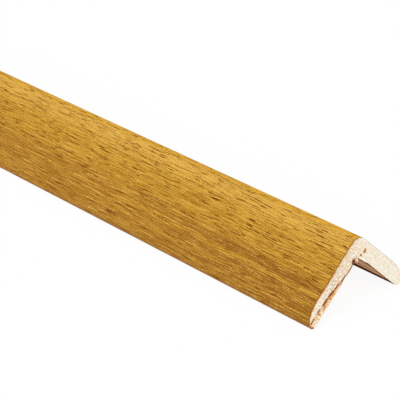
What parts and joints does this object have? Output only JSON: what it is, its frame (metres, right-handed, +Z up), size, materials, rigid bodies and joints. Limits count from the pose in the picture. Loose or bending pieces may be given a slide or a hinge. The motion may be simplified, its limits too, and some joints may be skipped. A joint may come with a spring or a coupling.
{
  "type": "corner guard moulding",
  "caption": "Veneered wooden angle moulding that covers and protects an outside wall corner; unequal legs with rounded free edges and a rounded outer corner.",
  "frame": {"origin": "middle of the footprint, on the floor that both free edges rest on", "axes": "+X along the moulding's length, towards the end that the picture shows; +Z up, with the outer corner on top; the long leg slopes down towards -Y and the short leg towards +Y"},
  "size_m": [1.2, 0.0348, 0.0209],
  "materials": {
    "bare_wood": "planed and bare, with sawn ends",
    "lacquered_veneer": "satin lacquer"
  },
  "bodies": {
    "root": {"core": "bare_wood", "veneer": "lacquered_veneer"}
  },
  "joints": []
}
